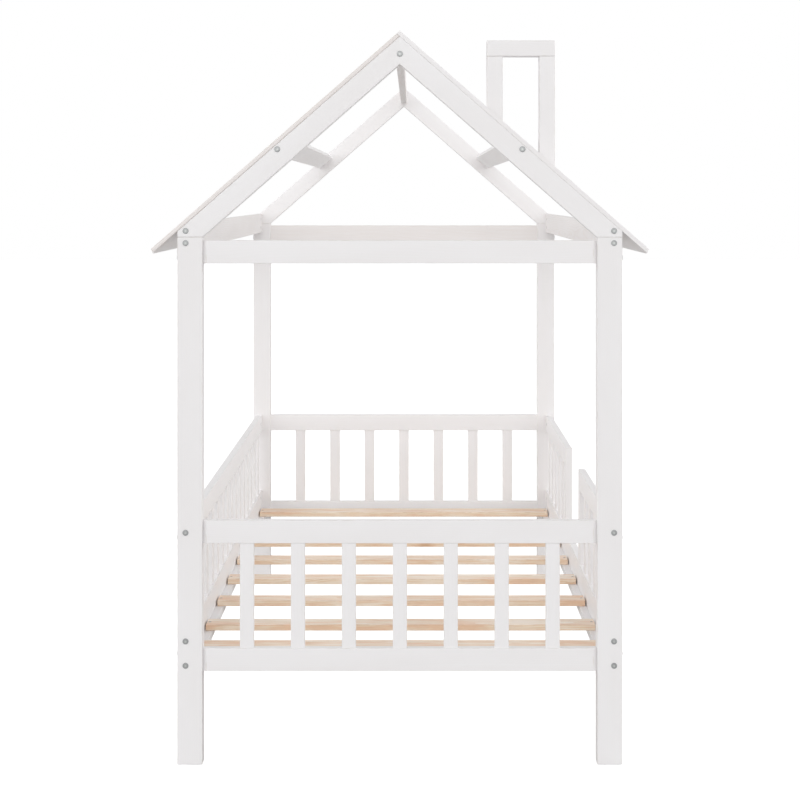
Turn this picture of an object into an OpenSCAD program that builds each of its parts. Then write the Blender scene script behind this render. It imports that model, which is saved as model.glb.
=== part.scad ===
// Single bed for a child, built as a house frame.
// Four posts carry two side rails with a slatted base, low picket fences on
// all four sides with an entrance on the right, and an open gable roof frame
// with verge boards on the foot rafters, eave boards, one purlin per slope and
// a small chimney.
// Millimetres. X runs across the bed, Y from the foot end to the head end,
// Z up from the floor. The origin is on the floor under the middle.

/* [Overall] */
// Width across the outer faces of the posts
bed_width = 1060; // [1000:1:1120]
// Length across the outer faces of the posts
bed_length = 1990; // [1930:1:2060]
// Height of the posts, where the rafters sit on them
post_height = 1256; // [1200:1:1340]

/* [Posts] */
// Width of a post across the bed
post_width = 60; // [56:1:70]
// Depth of a post along the bed
post_depth = 40; // [36:1:48]

/* [Rails] */
// Thickness of all rails, beams and the purlins
board_thickness = 20; // [18:1:24]
// Height of the guard, bottom and tie rails
rail_height = 55; // [48:1:64]
// Distance from the outer face of the posts to the end rails
end_rail_inset = 10; // [6:1:14]
// Distance from the outer face of the posts to the side rails
side_rail_inset = 10; // [6:1:14]
// Underside of the guard rails above the floor
guard_rail_z = 525; // [490:1:570]
// Underside of the bottom rails at the two ends
bottom_rail_z = 220; // [200:1:240]
// Space from the top of the tie rails up to the top of the posts
tie_rail_drop = 8; // [4:1:20]
// Underside of the two side rails
side_rail_z = 216; // [196:1:236]
// Height of the two side rails
side_rail_height = 100; // [90:1:112]
// Width of the bevel at the outer edges of each end rail
bevel_width = 8; // [4:0.5:12]
// Depth of that bevel
bevel_depth = 5; // [3:0.5:6]

/* [Fence] */
// Width of a picket
picket_width = 34; // [28:1:40]
// Thickness of a picket
picket_thickness = 14; // [12:1:16]
// Pickets at each end of the bed
end_picket_count = 7; // [5:1:8]
// Pickets in the full left fence
left_picket_count = 15; // [12:1:17]
// Pickets in each part of the right fence
right_picket_count = 5; // [4:1:6]
// Length of the right fence from the foot post to the entrance
foot_fence_length = 737; // [700:1:760]
// Width of the entrance
entrance_width = 393; // [360:1:430]
// Width of the upright stile on each side of the entrance
stile_width = 40; // [34:1:50]
// How far a picket tenon goes into its rail
tenon_length = 10; // [6:1:12]

/* [Base] */
// Number of slats
slat_count = 8; // [6:1:12]
// Width of a slat
slat_width = 63; // [54:1:72]
// Width of the last slat, at the head end
last_slat_width = 75; // [55:1:90]
// Thickness of a slat
slat_thickness = 15; // [12:1:20]
// Gap between a slat end and the side rail
slat_end_gap = 4; // [2:1:8]
// Top of the slats above the floor
slat_top_z = 262; // [250:1:290]
// Space from the foot posts to the first slat
first_slat_gap = 33; // [20:1:60]
// Space from the first slat to the second one
second_slat_gap = 147; // [120:1:190]
// Space from the last slat to the head posts
last_slat_gap = 55; // [40:1:90]
// Height of the ledger strips that carry the slats
ledger_height = 20; // [18:1:24]
// Thickness of the ledger strips
ledger_thickness = 20; // [16:1:26]
// Space from each end of a ledger strip to the posts
ledger_end_gap = 5; // [2:1:10]

/* [Roof] */
// Slope of the roof in degrees
roof_pitch = 41.24; // [38:0.01:45]
// Height of a rafter, measured square to the slope
rafter_height = 50; // [46:1:56]
// Top of the eave beams above the top of the posts
eave_beam_rise = 34; // [28:1:36]
// Height of the eave beams
eave_beam_height = 66; // [60:1:74]
// Height of the ridge beam
ridge_height = 55; // [48:1:60]
// Flat left on top of the ridge beam
ridge_flat = 6; // [3:1:10]
// Width of a purlin along the slope
purlin_width = 55; // [46:1:64]
// Space from the outer faces of the posts to the purlins, along the slope
purlin_from_side = 350; // [325:1:375]
// Thickness of the verge boards on the foot rafters
verge_thickness = 10; // [8:1:12]
// Length of the verge boards past the posts, along the slope
verge_overhang = 76; // [60:1:96]
// Thickness of the eave boards, which lie on the slope of the eave beams
eave_thickness = 6; // [5:0.5:8]
// How much of the eave beam an eave board covers, across the bed
eave_board_lap = 7; // [6.5:0.5:8]
// How far the eave boards reach past the end of the verge boards
eave_board_extra = 7; // [0:1:12]

/* [Chimney] */
// Thickness of the two chimney legs across the bed
chimney_leg = 38; // [32:1:42]
// Depth of the chimney along the bed
chimney_depth = 40; // [34:1:48]
// Space from the outer face of the right posts to the chimney
chimney_from_side = 157; // [146:1:170]
// Width of the chimney across the bed
chimney_width = 164; // [156:1:180]
// Top of the chimney above the top of the posts
chimney_rise = 472; // [450:1:500]
// Thickness of the top board of the chimney
chimney_board = 38; // [30:1:44]

/* [Fasteners] */
// Shank diameter of the bolts
bolt_size = 6; // [5:0.5:7]
// Head diameter of the bolts
bolt_head = 14; // [12:0.5:17]
// Height of the bolt heads
bolt_head_height = 2.2; // [1.6:0.1:3]
// Width across the flats of the hexagon socket
bolt_socket = 4; // [3:0.5:5]
// Diameter of the barrel nuts
barrel_size = 10; // [9:0.5:12]
// Distance from a rail end to its barrel nut
barrel_inset = 40; // [34:1:46]
// Diameter of the wooden dowels
dowel_size = 8; // [6:0.5:9]
// Length of the wooden dowels
dowel_length = 30; // [24:1:34]
// Depth of the ridge bolts below the peak of the rafters
ridge_bolt_drop = 42; // [38:1:44]
// Depth of the ridge dowels below the peak of the rafters
ridge_dowel_drop = 21; // [19:1:24]
// Depth of the dowel between two rafters below their peak
apex_dowel_drop = 58; // [55:1:60]
// Space from the edge of a purlin to its bolt and its dowel
purlin_bolt_edge = 13; // [12:1:15]
// Depth of the lower eave beam bolt below the top of the post
eave_bolt_below = 14; // [12:1:16]
// Height of the upper eave beam bolt above the top of the post
eave_bolt_above = 15; // [13:1:16]
// Space from the posts to the first screw of an eave board
eave_screw_margin = 100; // [60:5:140]
// Shank diameter of the countersunk screws
screw_size = 3.5; // [3:0.1:4]
// Head diameter of the countersunk screws
screw_head = 7; // [6.5:0.1:8]

/* [Clearances] */
// Play of a bolt in its bore, on the diameter
bolt_play = 1; // [0.6:0.1:1.5]
// Play of a barrel nut in its bore, on the diameter
barrel_play = 0.4; // [0.2:0.1:0.8]
// Play of a dowel in its bore, on the diameter
dowel_play = 0.2; // [0.1:0.05:0.4]
// Play of a screw shank in its hole, on the diameter
screw_play = 0.6; // [0.4:0.1:1]
// Play of a tenon in its mortise, on each side
tenon_play = 0.2; // [0.1:0.05:0.4]

/* [Hidden] */
$fn = 32;
half_w = bed_width / 2;
half_l = bed_length / 2;
inner_w = half_w - post_width;
inner_l = half_l - post_depth;
// side members: outer face, middle and inner face
side_out = half_w - side_rail_inset;
side_mid = side_out - board_thickness / 2;
side_in = side_out - board_thickness;
// end rails: middle and inner face
end_mid = half_l - end_rail_inset - board_thickness / 2;
end_in = half_l - end_rail_inset - board_thickness;
guard_top = guard_rail_z + rail_height;
side_rail_top = side_rail_z + side_rail_height;
bottom_rail_top = bottom_rail_z + rail_height;
tie_rail_z = post_height - tie_rail_drop - rail_height;
guard_mid = guard_rail_z + rail_height / 2;
// roof planes: heights of the rafter top and underside over the middle
roof_in = post_height + inner_w * tan(roof_pitch);
roof_out = roof_in + rafter_height / cos(roof_pitch);
eave_top = post_height + eave_beam_rise;
eave_bottom = eave_top - eave_beam_height;
// where the top of the eave beam meets the slope
eave_edge_x = (roof_out - eave_top) / tan(roof_pitch);
ridge_top = roof_out - ridge_flat / 2 * tan(roof_pitch);
verge_length = half_w / cos(roof_pitch) + verge_overhang;
// distance of the purlins from the top of the roof, along the slope
purlin_distance = half_w / cos(roof_pitch) - purlin_from_side;
// inner edge of the inner chimney leg
chimney_x = half_w - chimney_from_side - chimney_width;
// bolt heights
side_bolt_low = side_rail_z + side_rail_height * 0.2;
side_bolt_high = side_rail_z + side_rail_height * 0.78;
eave_bolt_low = post_height - eave_bolt_below;
eave_bolt_high = post_height + eave_bolt_above;
ridge_bolt_z = roof_out - ridge_bolt_drop;
ridge_dowel_z = roof_out - ridge_dowel_drop;
apex_dowel_z = roof_out - apex_dowel_drop;
// place of the purlin bolt and dowel along the slope
purlin_bolt_s = purlin_distance + purlin_width - purlin_bolt_edge;
purlin_dowel_s = purlin_distance + purlin_bolt_edge;
// small offset of the end rail bolts and dowels from the rail middle
end_offset = rail_height / 4;
end_rail_heights = [bottom_rail_z, guard_rail_z, tie_rail_z];
bolt_bore = bolt_size + bolt_play;
barrel_bore = barrel_size + barrel_play;
dowel_bore = dowel_size + dowel_play;
barrel_length = board_thickness - 4;
y_bolt_length = post_depth + barrel_inset + barrel_size / 2 + 3;
x_bolt_length = post_width + barrel_inset + barrel_size / 2 + 3;
barrel_y = inner_l - barrel_inset;
barrel_x = inner_w - barrel_inset;
slat_bottom_z = slat_top_z - slat_thickness;
ledger_x = side_in - ledger_thickness / 2;
entrance_foot = -inner_l + foot_fence_length;
entrance_head = entrance_foot + entrance_width;
// head-side edges of the slats: the second to the last are evenly spaced
first_slat_edge = -inner_l + first_slat_gap + slat_width;
second_slat_edge = first_slat_edge + second_slat_gap + slat_width;
slat_pitch = (inner_l - last_slat_gap - second_slat_edge) / (slat_count - 2);
function slat_edge(i) = i == 0 ? first_slat_edge
    : second_slat_edge + (i - 1) * slat_pitch;
function slat_w(i) = i == slat_count - 1 ? last_slat_width : slat_width;
function roof_z(x) = roof_out - abs(x) * tan(roof_pitch);
function under_z(x) = roof_in - abs(x) * tan(roof_pitch);
// middles of n pickets spread evenly between two ends
function spread(a, b, n) = [for (i = [1:n])
    a + i * (b - a - n * picket_width) / (n + 1) + (i - 0.5) * picket_width];
end_pickets = spread(-inner_w, inner_w, end_picket_count);
left_pickets = spread(-inner_l, inner_l, left_picket_count);
foot_pickets_y = spread(-inner_l, entrance_foot - stile_width,
    right_picket_count);
head_pickets_y = spread(entrance_head + stile_width, inner_l,
    right_picket_count);
verge_screws = [80, 300, 600];
eave_screws = [for (i = [-2:2]) i * (inner_l - eave_screw_margin) / 2];

paint = [0.93, 0.93, 0.92];
pine = [0.86, 0.70, 0.52];
beech = [0.80, 0.66, 0.45];
zinc = [0.72, 0.73, 0.75];

// Mirror to the left side (sx below zero) and the foot end (sy below zero)
module place(sx, sy) {
    if (sx < 0 && sy < 0) mirror([1, 0, 0]) mirror([0, 1, 0]) children();
    else if (sx < 0) mirror([1, 0, 0]) children();
    else if (sy < 0) mirror([0, 1, 0]) children();
    else children();
}

module both_ends() {
    children();
    mirror([0, 1, 0]) children();
}

module both_sides() {
    children();
    mirror([1, 0, 0]) children();
}

// Slope frame of the right roof side: X down the slope, Z square to it
module on_slope() {
    translate([0, 0, roof_out]) rotate([0, roof_pitch, 0]) children();
}

// A box given by its lower and upper corner
module block(a, b) {
    translate(a) cube(b - a);
}

// Round bore along Y between y0 and y1
module bore_y(x, z, d, y0, y1) {
    translate([x, y0, z]) rotate([-90, 0, 0]) cylinder(d = d, h = y1 - y0);
}

// Round bore along X between x0 and x1
module bore_x(y, z, d, x0, x1) {
    translate([x0, y, z]) rotate([0, 90, 0]) cylinder(d = d, h = x1 - x0);
}

// Flat-headed bolt with a hexagon socket, head below zero, shank along Z
module bolt(length) {
    difference() {
        union() {
            translate([0, 0, -bolt_head_height / 2])
                cylinder(d = bolt_head, h = bolt_head_height / 2);
            translate([0, 0, -bolt_head_height])
                cylinder(d1 = bolt_head - 2, d2 = bolt_head,
                    h = bolt_head_height / 2);
            cylinder(d = bolt_size, h = length);
        }
        translate([0, 0, -bolt_head_height - 1])
            cylinder(d = bolt_socket / cos(30), h = bolt_head_height + 2,
                $fn = 6);
    }
}

// Barrel nut: open end at zero, cross hole in the middle of the board
module barrel_nut() {
    difference() {
        cylinder(d = barrel_size, h = barrel_length);
        translate([0, 0, board_thickness / 2]) rotate([0, 90, 0])
            cylinder(d = bolt_size + barrel_play, h = 2 * barrel_size,
                center = true);
    }
}

// Countersunk screw pointing down, top of the head at zero
module screw(length) {
    translate([0, 0, -2]) cylinder(d1 = screw_size, d2 = screw_head, h = 2);
    translate([0, 0, -length + 3]) cylinder(d = screw_size, h = length - 5);
    translate([0, 0, -length]) cylinder(d1 = 1, d2 = screw_size, h = 3);
}

module screw_hole(length) {
    translate([0, 0, -2]) cylinder(d1 = screw_size, d2 = screw_head, h = 2);
    cylinder(d = screw_head, h = 1);
    translate([0, 0, -length - 1])
        cylinder(d = screw_size + screw_play, h = length + 0.5);
}

// Bolt along Y at the head end, with its bore and its barrel bore
module y_bolt(x, z) {
    translate([x, half_l, z]) rotate([90, 0, 0]) bolt(y_bolt_length);
}

module y_bolt_cut(x, z) {
    bore_y(x, z, bolt_bore, half_l - y_bolt_length - 2, half_l + 1);
}

// Dowel along Y between a post or rafter and the member behind it
module y_dowel(x, z, d) {
    bore_y(x, z, d, inner_l - dowel_length / 2, inner_l + dowel_length / 2);
}

// Barrel nut seat in a side member, open towards the bed
module side_barrel_cut(z) {
    bore_x(barrel_y, z, barrel_bore, side_in - 1, side_in + barrel_length);
}

module side_barrel(z) {
    translate([side_in, barrel_y, z]) rotate([0, 90, 0]) rotate([0, 0, 90])
        barrel_nut();
}

// Bolt along X through a post into an end rail
module x_bolt(z) {
    translate([half_w, end_mid, z]) rotate([0, -90, 0]) bolt(x_bolt_length);
}

module x_bolt_cut(z) {
    bore_x(end_mid, z, bolt_bore, half_w - x_bolt_length - 2, half_w + 1);
}

module x_dowel(z, d) {
    bore_x(end_mid, z, d, inner_w - dowel_length / 2,
        inner_w + dowel_length / 2);
}

// Barrel nut of the end rail with its underside at z, put in from below
module end_barrel_cut(z) {
    translate([barrel_x, end_mid, z - 1]) cylinder(d = barrel_bore,
        h = end_barrel_z(z) + barrel_length - z + 1);
}

module end_barrel(z) {
    translate([barrel_x, end_mid, end_barrel_z(z)]) barrel_nut();
}

// Upright dowel between a post and its rafter
module post_dowel(d) {
    translate([inner_w + 17, half_l - post_depth / 2,
        post_height - dowel_length / 2]) cylinder(d = d, h = dowel_length);
}

// Post at the right of the head end; the others are mirrored
module post(sx, sy) {
    color(paint) place(sx, sy) difference() {
        block([inner_w, inner_l, 0], [half_w, half_l, post_height]);
        for (z = [side_bolt_low, side_bolt_high, guard_mid, eave_bolt_low])
            y_bolt_cut(side_mid, z);
        for (z = end_rail_heights) {
            x_bolt_cut(end_bolt_z(z));
            x_dowel(end_dowel_z(z), dowel_bore);
        }
        post_dowel(dowel_bore);
    }
}

// End rail with bevelled outer edges at both ends
module end_rail_body(z) {
    y0 = end_in;
    y1 = end_in + board_thickness;
    translate([0, 0, z]) linear_extrude(rail_height) polygon([
        [-inner_w, y0], [inner_w, y0], [inner_w, y1 - bevel_depth],
        [inner_w - bevel_width, y1], [-inner_w + bevel_width, y1],
        [-inner_w, y1 - bevel_depth]]);
}

// Heights of the bolt, barrel nut and dowel of an end rail with its
// underside at z
function end_bolt_z(z) = z + rail_height / 2
    + (z == bottom_rail_z ? end_offset : -end_offset);
function end_barrel_z(z) = end_bolt_z(z) - board_thickness / 2;
function end_dowel_z(z) = z + rail_height / 2
    - (z == bottom_rail_z ? end_offset : -end_offset);

module end_rail(z, sy, mortise) {
    color(paint) place(1, sy) difference() {
        end_rail_body(z);
        both_sides() {
            x_bolt_cut(end_bolt_z(z));
            end_barrel_cut(z);
            x_dowel(end_dowel_z(z), dowel_bore);
        }
        if (mortise != 0)
            for (x = end_pickets) translate([x, end_mid,
                mortise > 0 ? z + rail_height : z]) mortise_cut(false);
    }
}

// Picket between two rails with a tenon at each end, middle at the origin
module picket(z0, z1, along_y) {
    w = picket_width;
    t = picket_thickness;
    rotate([0, 0, along_y ? 90 : 0]) {
        block([-w / 2, -t / 2, z0], [w / 2, t / 2, z1]);
        block([-w / 2 + 5, -t / 2 + 3, z0 - tenon_length],
            [w / 2 - 5, t / 2 - 3, z1 + tenon_length]);
    }
}

module mortise_cut(along_y) {
    w = picket_width - 10 + 2 * tenon_play;
    t = picket_thickness - 6 + 2 * tenon_play;
    rotate([0, 0, along_y ? 90 : 0]) cube([w, t, 2 * tenon_length + 1],
        center = true);
}

module end_pickets_row(sy) {
    color(paint) place(1, sy) for (x = end_pickets)
        translate([x, end_mid, 0])
            picket(bottom_rail_top, guard_rail_z, false);
}

module side_pickets_row(sx, rows) {
    color(paint) place(sx, 1) for (y = rows)
        translate([side_mid, y, 0]) picket(side_rail_top, guard_rail_z, true);
}

// Full-length bed rail at the side
module side_rail(sx, rows) {
    color(paint) place(sx, 1) difference() {
        block([side_in, -inner_l, side_rail_z],
            [side_out, inner_l, side_rail_top]);
        both_ends() for (z = [side_bolt_low, side_bolt_high]) {
            y_bolt_cut(side_mid, z);
            side_barrel_cut(z);
        }
        for (y = rows) translate([side_mid, y, side_rail_top])
            mortise_cut(true);
        ledger_screws_at(false);
    }
}

module left_guard_rail() {
    color(paint) place(-1, 1) difference() {
        block([side_in, -inner_l, guard_rail_z],
            [side_out, inner_l, guard_top]);
        both_ends() guard_end_cut();
        for (y = left_pickets) translate([side_mid, y, guard_rail_z])
            mortise_cut(true);
    }
}

// Bolt and barrel seat at the post end of a side guard rail
module guard_end_cut() {
    y_bolt_cut(side_mid, guard_mid);
    side_barrel_cut(guard_mid);
}

// Dowel between a split guard rail and the stile of the entrance
module stile_dowel(y, d) {
    bore_y(side_mid, guard_mid, d, y - dowel_length / 2,
        y + dowel_length / 2);
}

module right_guard_rail(y0, y1, sy, rows, joint) {
    color(paint) difference() {
        block([side_in, y0, guard_rail_z], [side_out, y1, guard_top]);
        place(1, sy) guard_end_cut();
        for (y = rows) translate([side_mid, y, guard_rail_z])
            mortise_cut(true);
        stile_dowel(joint, dowel_bore);
    }
}

// Stile beside the entrance, tenoned into the side rail
module stile(y0, joint) {
    color(paint) difference() {
        union() {
            block([side_in, y0, side_rail_top],
                [side_out, y0 + stile_width, guard_top]);
            translate([side_mid, y0 + stile_width / 2, side_rail_top])
                rotate([0, 0, 90]) block(
                    [-picket_width / 2 + 5, -picket_thickness / 2 + 3,
                        -tenon_length],
                    [picket_width / 2 - 5, picket_thickness / 2 - 3, 1]);
        }
        stile_dowel(joint, dowel_bore);
    }
}

// Screws through the ledger strip into the side rail, between the slats
module ledger_screws_at(solid) {
    for (i = [1:slat_count - 2])
        translate([side_in - ledger_thickness,
            slat_edge(i) + (slat_pitch - slat_width) / 2,
            slat_bottom_z - ledger_height / 2]) rotate([0, -90, 0]) {
            if (solid) screw(ledger_thickness + board_thickness - 6);
            else screw_hole(ledger_thickness + board_thickness - 6);
        }
}

// Screws through the slat ends into the ledger strip
module slat_screws_at(solid, list) {
    for (i = list)
        translate([ledger_x - 1, slat_edge(i) - slat_w(i) / 2, slat_top_z]) {
            if (solid) screw(slat_thickness + ledger_height - 6);
            else screw_hole(slat_thickness + ledger_height - 6);
        }
}

module ledger(sx) {
    color(paint) place(sx, 1) difference() {
        block([side_in - ledger_thickness, -inner_l + ledger_end_gap,
            slat_bottom_z - ledger_height],
            [side_in, inner_l - ledger_end_gap, slat_bottom_z]);
        ledger_screws_at(false);
        slat_screws_at(false, [0:slat_count - 1]);
    }
}

module slat(i) {
    color(pine) if (i < slat_count) difference() {
        block([-side_in + slat_end_gap, slat_edge(i) - slat_w(i),
            slat_bottom_z],
            [side_in - slat_end_gap, slat_edge(i), slat_top_z]);
        both_sides() slat_screws_at(false, [i]);
    }
}

// Rafter of the right side at the head end
module rafter(sx, sy) {
    color(paint) place(sx, sy) difference() {
        translate([0, half_l, 0]) rotate([90, 0, 0])
            linear_extrude(post_depth) polygon([[0, roof_out], [0, roof_in],
                [inner_w, post_height], [half_w, post_height],
                [half_w, roof_z(half_w)]]);
        y_bolt_cut(side_mid, eave_bolt_high);
        y_bolt_cut(0, ridge_bolt_z);
        y_dowel(0, ridge_dowel_z, dowel_bore);
        apex_dowel(dowel_bore);
        on_slope() {
            y_bolt_cut(purlin_bolt_s, -board_thickness / 2);
            y_dowel(purlin_dowel_s, -board_thickness / 2, dowel_bore);
            if (sy < 0) verge_screws_at(false);
        }
        post_dowel(dowel_bore);
        if (sx > 0 && sy < 0) mirror([0, 1, 0]) chimney_leg_screws_at(false);
    }
}

// Dowel across the joint of two rafters
module apex_dowel(d) {
    bore_x(half_l - post_depth / 2, apex_dowel_z, d, -dowel_length / 2,
        dowel_length / 2);
}

module verge_screws_at(solid) {
    for (s = verge_screws)
        translate([s, half_l - post_depth / 2, verge_thickness]) {
            if (solid) screw(verge_thickness + 26);
            else screw_hole(verge_thickness + 26);
        }
}

// Verge board on a foot rafter; the right one laps over the left one
module verge_board(sx) {
    s = sin(roof_pitch);
    c = cos(roof_pitch);
    top = roof_out + verge_thickness / c;
    peak = [-verge_thickness / (2 * s), roof_out + verge_thickness / (2 * c)];
    tip = [verge_length * c, roof_out - verge_length * s];
    tip_top = tip + verge_thickness * [s, c];
    color(paint) place(sx, -1) difference() {
        translate([0, half_l, 0]) rotate([90, 0, 0])
            linear_extrude(post_depth) polygon(sx > 0
                ? [peak, [0, top], tip_top, tip]
                : [[0, roof_out], [-peak[0], peak[1]], tip_top, tip]);
        on_slope() verge_screws_at(false);
    }
}

// Eave beam between the posts, its outer top edge cut to the slope
module eave_beam(sx) {
    color(paint) place(sx, 1) difference() {
        translate([0, inner_l, 0]) rotate([90, 0, 0])
            linear_extrude(2 * inner_l) polygon([
                [side_in, eave_bottom], [side_out, eave_bottom],
                [side_out, roof_z(side_out)], [eave_edge_x, eave_top],
                [side_in, eave_top]]);
        both_ends() for (z = [eave_bolt_low, eave_bolt_high]) {
            y_bolt_cut(side_mid, z);
            side_barrel_cut(z);
        }
        on_slope() eave_screws_at(false);
    }
}

module eave_screws_at(solid) {
    for (y = eave_screws)
        translate([(side_out - 3) / cos(roof_pitch), y, eave_thickness]) {
            if (solid) screw(eave_thickness + 8);
            else screw_hole(eave_thickness + 8);
        }
}

// Thin board along the eave, its underside level with the rafter tops
module eave_board(sx) {
    color(paint) place(sx, 1) on_slope() difference() {
        block([(side_out - eave_board_lap) / cos(roof_pitch), -inner_l, 0],
            [verge_length + eave_board_extra, inner_l, eave_thickness]);
        eave_screws_at(false);
    }
}

module ridge_beam() {
    t = board_thickness / 2;
    f = ridge_flat / 2;
    color(paint) difference() {
        translate([0, inner_l, 0]) rotate([90, 0, 0])
            linear_extrude(2 * inner_l) polygon([
                [-t, ridge_top - ridge_height], [t, ridge_top - ridge_height],
                [t, roof_z(t)], [f, ridge_top], [-f, ridge_top],
                [-t, roof_z(t)]]);
        both_ends() {
            y_bolt_cut(0, ridge_bolt_z);
            y_dowel(0, ridge_dowel_z, dowel_bore);
            bore_x(barrel_y, ridge_bolt_z, barrel_bore, -t - 1,
                -t + barrel_length);
        }
    }
}

// Purlin set into the slope, its top flush with the rafters
module purlin(sx) {
    t = board_thickness;
    color(paint) place(sx, 1) on_slope() difference() {
        block([purlin_distance, -inner_l, -t],
            [purlin_distance + purlin_width, inner_l, 0]);
        both_ends() {
            y_bolt_cut(purlin_bolt_s, -t / 2);
            y_dowel(purlin_dowel_s, -t / 2, dowel_bore);
            translate([purlin_bolt_s, barrel_y, -t - 1])
                cylinder(d = barrel_bore, h = barrel_length + 1);
        }
    }
}

// Chimney leg behind the foot rafter, lower end cut to the slope
module chimney_leg(x0) {
    x1 = x0 + chimney_leg;
    top = post_height + chimney_rise - chimney_board;
    color(paint) difference() {
        translate([0, -inner_l + chimney_depth, 0]) rotate([90, 0, 0])
            linear_extrude(chimney_depth) polygon([[x0, top], [x1, top],
                [x1, under_z(x1) + 6], [x0, under_z(x0) + 6]]);
        chimney_leg_screws_at(false);
        chimney_top_screws_at(false);
    }
}

function chimney_legs() = [chimney_x, chimney_x + chimney_width - chimney_leg];

// Screws through the chimney legs into the foot rafter
module chimney_leg_screws_at(solid) {
    for (x0 = chimney_legs(), k = [-1, 1]) {
        x = x0 + chimney_leg / 2 + k * 8;
        translate([x, -inner_l + chimney_depth,
            (roof_z(x) + under_z(x)) / 2]) rotate([-90, 0, 0]) {
            if (solid) screw(chimney_depth + 12);
            else screw_hole(chimney_depth + 12);
        }
    }
}

// Screws down through the top board into the chimney legs
module chimney_top_screws_at(solid) {
    for (x0 = chimney_legs())
        translate([x0 + chimney_leg / 2, -inner_l + chimney_depth / 2,
            post_height + chimney_rise]) {
            if (solid) screw(chimney_board + 22);
            else screw_hole(chimney_board + 22);
        }
}

module chimney_top_board() {
    color(paint) difference() {
        block([chimney_x, -inner_l,
            post_height + chimney_rise - chimney_board],
            [chimney_x + chimney_width, -inner_l + chimney_depth,
                post_height + chimney_rise]);
        chimney_top_screws_at(false);
    }
}

// Fasteners, one kind to a node
module side_rail_bolts() {
    color(zinc) both_sides() both_ends()
        for (z = [side_bolt_low, side_bolt_high]) y_bolt(side_mid, z);
}

module guard_rail_bolts() {
    color(zinc) both_sides() both_ends() y_bolt(side_mid, guard_mid);
}

module eave_beam_bolts() {
    color(zinc) both_sides() both_ends()
        for (z = [eave_bolt_low, eave_bolt_high]) y_bolt(side_mid, z);
}

module purlin_and_ridge_bolts() {
    color(zinc) {
        both_sides() on_slope() both_ends()
            y_bolt(purlin_bolt_s, -board_thickness / 2);
        both_ends() y_bolt(0, ridge_bolt_z);
    }
}

module end_rail_bolts() {
    color(zinc) both_sides() both_ends()
        for (z = end_rail_heights)
            x_bolt(end_bolt_z(z));
}

module barrel_nuts() {
    t = board_thickness;
    color(zinc) {
        both_sides() both_ends() {
            for (z = [side_bolt_low, side_bolt_high, guard_mid,
                eave_bolt_low, eave_bolt_high]) side_barrel(z);
            for (z = end_rail_heights) end_barrel(z);
        }
        both_sides() on_slope() both_ends()
            translate([purlin_bolt_s, barrel_y, -t]) rotate([0, 0, 90])
                barrel_nut();
        both_ends() translate([-t / 2, barrel_y, ridge_bolt_z])
            rotate([0, 90, 0]) rotate([0, 0, 90]) barrel_nut();
    }
}

module dowels() {
    color(beech) {
        both_sides() both_ends() {
            for (z = end_rail_heights)
                x_dowel(end_dowel_z(z), dowel_size);
            post_dowel(dowel_size);
        }
        both_sides() on_slope() both_ends()
            y_dowel(purlin_dowel_s, -board_thickness / 2, dowel_size);
        both_ends() {
            y_dowel(0, ridge_dowel_z, dowel_size);
            apex_dowel(dowel_size);
        }
        stile_dowel(entrance_foot - stile_width, dowel_size);
        stile_dowel(entrance_head + stile_width, dowel_size);
    }
}

module slat_screws() {
    color(zinc) both_sides() slat_screws_at(true, [0:slat_count - 1]);
}

module board_screws() {
    color(zinc) {
        both_sides() {
            ledger_screws_at(true);
            on_slope() {
                mirror([0, 1, 0]) verge_screws_at(true);
                eave_screws_at(true);
            }
        }
        chimney_leg_screws_at(true);
        chimney_top_screws_at(true);
    }
}

module right_foot_guard_rail() {
    joint = entrance_foot - stile_width;
    right_guard_rail(-inner_l, joint, -1, foot_pickets_y, joint);
}

module right_head_guard_rail() {
    joint = entrance_head + stile_width;
    right_guard_rail(joint, inner_l, 1, head_pickets_y, joint);
}

right_mortises = concat(foot_pickets_y, head_pickets_y,
    [entrance_foot - stile_width / 2, entrance_head + stile_width / 2]);

post(-1, -1);  // foot_left_post
post(1, -1);  // foot_right_post
post(-1, 1);  // head_left_post
post(1, 1);  // head_right_post
end_rail(bottom_rail_z, -1, 1);  // foot_bottom_rail
end_rail(guard_rail_z, -1, -1);  // foot_guard_rail
end_rail(tie_rail_z, -1, 0);  // foot_tie_rail
end_pickets_row(-1);  // foot_pickets
end_rail(bottom_rail_z, 1, 1);  // head_bottom_rail
end_rail(guard_rail_z, 1, -1);  // head_guard_rail
end_rail(tie_rail_z, 1, 0);  // head_tie_rail
end_pickets_row(1);  // head_pickets
side_rail(-1, left_pickets);  // left_side_rail
left_guard_rail();
side_pickets_row(-1, left_pickets);
ledger(-1);  // left_slat_ledger
side_rail(1, right_mortises);  // right_side_rail
right_foot_guard_rail();
right_head_guard_rail();
stile(entrance_foot - stile_width, entrance_foot - stile_width);  // right_foot_stile
stile(entrance_head, entrance_head + stile_width);  // right_head_stile
side_pickets_row(1, foot_pickets_y);  // right_foot_pickets
side_pickets_row(1, head_pickets_y);  // right_head_pickets
ledger(1);  // right_slat_ledger
slat(0);  // slat_1
slat(1);  // slat_2
slat(2);  // slat_3
slat(3);  // slat_4
slat(4);  // slat_5
slat(5);  // slat_6
slat(6);  // slat_7
slat(7);  // slat_8
eave_beam(-1);  // left_eave_beam
eave_beam(1);  // right_eave_beam
rafter(-1, -1);  // foot_left_rafter
rafter(1, -1);  // foot_right_rafter
rafter(-1, 1);  // head_left_rafter
rafter(1, 1);  // head_right_rafter
ridge_beam();
purlin(-1);  // left_purlin
purlin(1);  // right_purlin
eave_board(-1);  // left_eave_board
eave_board(1);  // right_eave_board
verge_board(-1);  // left_verge_board
verge_board(1);  // right_verge_board
chimney_leg(chimney_legs()[0]);  // chimney_inner_leg
chimney_leg(chimney_legs()[1]);  // chimney_outer_leg
chimney_top_board();
side_rail_bolts();
guard_rail_bolts();
eave_beam_bolts();
purlin_and_ridge_bolts();
end_rail_bolts();
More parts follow.
